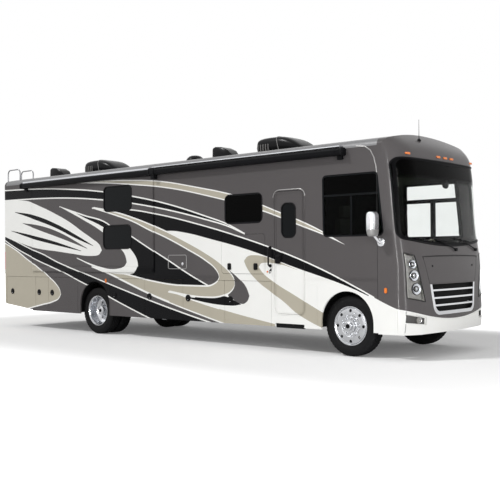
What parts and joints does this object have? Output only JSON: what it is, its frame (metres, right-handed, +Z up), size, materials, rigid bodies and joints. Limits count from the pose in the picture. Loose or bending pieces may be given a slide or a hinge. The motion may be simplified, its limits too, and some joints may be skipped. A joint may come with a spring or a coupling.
{
  "type": "motorhome",
  "caption": "Full size class A motorhome with steered front wheels, entry door and step, slide out rooms, side hinged baggage doors, outside hatch, roof air conditioners, awning and ladder.",
  "frame": {"origin": "on the ground, below the middle of the overall box", "axes": "+X forward, +Y to the left side, +Z up"},
  "size_m": [10.8256, 3.1, 3.74],
  "materials": {
    "tyre": "matt",
    "wheel_metal": "polished",
    "chassis_black": "satin",
    "cast": "rough",
    "tank": "matt",
    "floor": "satin",
    "bay": "satin",
    "paint_side": "gloss, metallic grey with swept stripes in white, black and beige",
    "roof_paint": "gloss",
    "shroud_plastic": "gloss",
    "glass_tinted": "dark tint",
    "glass_clear": "clear",
    "reflector": "bright",
    "chrome": "mirror bright",
    "black_plastic": "satin",
    "amber_lens": "gloss",
    "red_lens": "gloss",
    "ladder_metal": "brushed",
    "awning_case": "gloss, black with a silver strip",
    "dash_plastic": "matt",
    "seat_fabric": "satin",
    "mirror_shell": "bright"
  },
  "bodies": {
    "coach": {"front_axle": "chassis_black", "rear_axle": "chassis_black", "chassis_frame": "chassis_black", "engine_block": "cast", "tanks_and_exhaust": "tank", "cabin_floor": "floor", "storage_bays": "bay", "wall_right": "paint_side", "wall_left": "paint_side", "skirt_right": "paint_side", "skirt_left": "paint_side", "roof_panel": "roof_paint", "rear_cap": "paint_side", "tail_lamps": "red_lens", "front_cap": "paint_side", "front_bumper": "paint_side", "windshield": "glass_clear", "headlamp_lenses": "glass_clear", "lamp_units": "reflector", "grille_surround": "chrome", "grille_mesh": "black_plastic", "marker_lamps": "amber_lens", "window_frames": "black_plastic", "window_panes": "glass_tinted", "air_conditioners": "shroud_plastic", "roof_fittings": "shroud_plastic", "ladder": "ladder_metal", "awning": "awning_case", "dashboard": "dash_plastic", "cab_seats": "seat_fabric", "mirrors": "mirror_shell", "wipers": "black_plastic"},
    "knuckle_right": {"knuckle_right": "chassis_black"},
    "knuckle_left": {"knuckle_left": "chassis_black"},
    "wheel_front_right": {"tyre_front_right": "tyre", "rim_front_right": "wheel_metal"},
    "wheel_front_left": {"tyre_front_left": "tyre", "rim_front_left": "wheel_metal"},
    "wheels_rear_right": {"tyres_rear_right": "tyre", "rims_rear_right": "wheel_metal"},
    "wheels_rear_left": {"tyres_rear_left": "tyre", "rims_rear_left": "wheel_metal"},
    "tie_rod": {"tie_rod": "chassis_black"},
    "entry_door": {"entry_door": "paint_side", "entry_door_window": "glass_tinted"},
    "entry_step": {"entry_step": "black_plastic"},
    "outside_hatch": {"outside_hatch": "paint_side"},
    "slide_right": {"slide_right": "paint_side", "slide_right_windows": "glass_tinted"},
    "slide_left": {"slide_left": "paint_side", "slide_left_windows": "glass_tinted"},
    "baggage_door_right_1": {"baggage_door_right_1": "paint_side"},
    "baggage_door_right_2": {"baggage_door_right_2": "paint_side"},
    "baggage_door_right_3": {"baggage_door_right_3": "paint_side"},
    "baggage_door_right_4": {"baggage_door_right_4": "paint_side"},
    "baggage_door_right_5": {"baggage_door_right_5": "paint_side"},
    "baggage_door_right_6": {"baggage_door_right_6": "paint_side"},
    "baggage_door_right_7": {"baggage_door_right_7": "paint_side"},
    "baggage_door_left_1": {"baggage_door_left_1": "paint_side"},
    "baggage_door_left_2": {"baggage_door_left_2": "paint_side"}
  },
  "joints": [
    {"name": "steer_right", "type": "hinge", "parent": "coach", "child": "knuckle_right", "pos_m": [4.2275, -0.88, 0.4725], "axis": [0, 0, 1], "range_deg": [-40, 40]},
    {"name": "steer_left", "type": "hinge", "parent": "coach", "child": "knuckle_left", "pos_m": [4.2275, 0.88, 0.4725], "axis": [0, 0, 1], "range_deg": [-40, 40]},
    {"name": "tie_rod_joint", "type": "hinge", "parent": "knuckle_right", "child": "tie_rod", "pos_m": [4.0475, -0.88, 0.402], "axis": [0, 0, 1], "range_deg": [-40, 40]},
    {"name": "roll_front_right", "type": "hinge", "parent": "knuckle_right", "child": "wheel_front_right", "pos_m": [4.2275, -1.06, 0.4725], "axis": [0, 1, 0], "continuous": true},
    {"name": "roll_front_left", "type": "hinge", "parent": "knuckle_left", "child": "wheel_front_left", "pos_m": [4.2275, 1.06, 0.4725], "axis": [0, 1, 0], "continuous": true},
    {"name": "roll_rear_right", "type": "hinge", "parent": "coach", "child": "wheels_rear_right", "pos_m": [-1.9825, -0.915, 0.4725], "axis": [0, 1, 0], "continuous": true},
    {"name": "roll_rear_left", "type": "hinge", "parent": "coach", "child": "wheels_rear_left", "pos_m": [-1.9825, 0.915, 0.4725], "axis": [0, 1, 0], "continuous": true},
    {"name": "entry_door_hinge", "type": "hinge", "parent": "coach", "child": "entry_door", "pos_m": [3.4105, -1.27, 1.6], "axis": [0, 0, 1], "range_deg": [0, 110]},
    {"name": "entry_step_slide", "type": "slide", "parent": "coach", "child": "entry_step", "axis": [0, -1, 0], "range_m": [0, 0.28]},
    {"name": "outside_hatch_hinge", "type": "hinge", "parent": "coach", "child": "outside_hatch", "pos_m": [2.0925, -1.27, 1.934], "axis": [-1, 0, 0], "range_deg": [0, 90]},
    {"name": "baggage_right_1_hinge", "type": "hinge", "parent": "coach", "child": "baggage_door_right_1", "pos_m": [-4.0305, -1.27, 0.77], "axis": [0, 0, 1], "range_deg": [0, 90]},
    {"name": "baggage_right_2_hinge", "type": "hinge", "parent": "coach", "child": "baggage_door_right_2", "pos_m": [-3.5515, -1.27, 0.77], "axis": [0, 0, 1], "range_deg": [0, 90]},
    {"name": "baggage_right_3_hinge", "type": "hinge", "parent": "coach", "child": "baggage_door_right_3", "pos_m": [-2.5205, -1.27, 0.77], "axis": [0, 0, 1], "range_deg": [0, 90]},
    {"name": "baggage_right_4_hinge", "type": "hinge", "parent": "coach", "child": "baggage_door_right_4", "pos_m": [-0.4295, -1.27, 0.77], "axis": [0, 0, 1], "range_deg": [0, 90]},
    {"name": "baggage_right_5_hinge", "type": "hinge", "parent": "coach", "child": "baggage_door_right_5", "pos_m": [0.6175, -1.27, 0.77], "axis": [0, 0, 1], "range_deg": [0, 90]},
    {"name": "baggage_right_6_hinge", "type": "hinge", "parent": "coach", "child": "baggage_door_right_6", "pos_m": [1.6595, -1.27, 0.77], "axis": [0, 0, 1], "range_deg": [0, 90]},
    {"name": "baggage_right_7_hinge", "type": "hinge", "parent": "coach", "child": "baggage_door_right_7", "pos_m": [2.7195, -1.27, 0.77], "axis": [0, 0, 1], "range_deg": [0, 90]},
    {"name": "baggage_left_1_hinge", "type": "hinge", "parent": "coach", "child": "baggage_door_left_1", "pos_m": [-0.4295, 1.27, 0.77], "axis": [0, 0, -1], "range_deg": [0, 90]},
    {"name": "baggage_left_2_hinge", "type": "hinge", "parent": "coach", "child": "baggage_door_left_2", "pos_m": [1.6595, 1.27, 0.77], "axis": [0, 0, -1], "range_deg": [0, 90]},
    {"name": "slide_right_out", "type": "slide", "parent": "coach", "child": "slide_right", "axis": [0, -1, 0], "range_m": [0, 0.6]},
    {"name": "slide_left_out", "type": "slide", "parent": "coach", "child": "slide_left", "axis": [0, 1, 0], "range_m": [0, 0.6]}
  ],
  "couplings": [
    {"joint": "steer_left", "follows": "steer_right", "ratio": 1},
    {"joint": "tie_rod_joint", "follows": "steer_right", "ratio": -1}
  ]
}
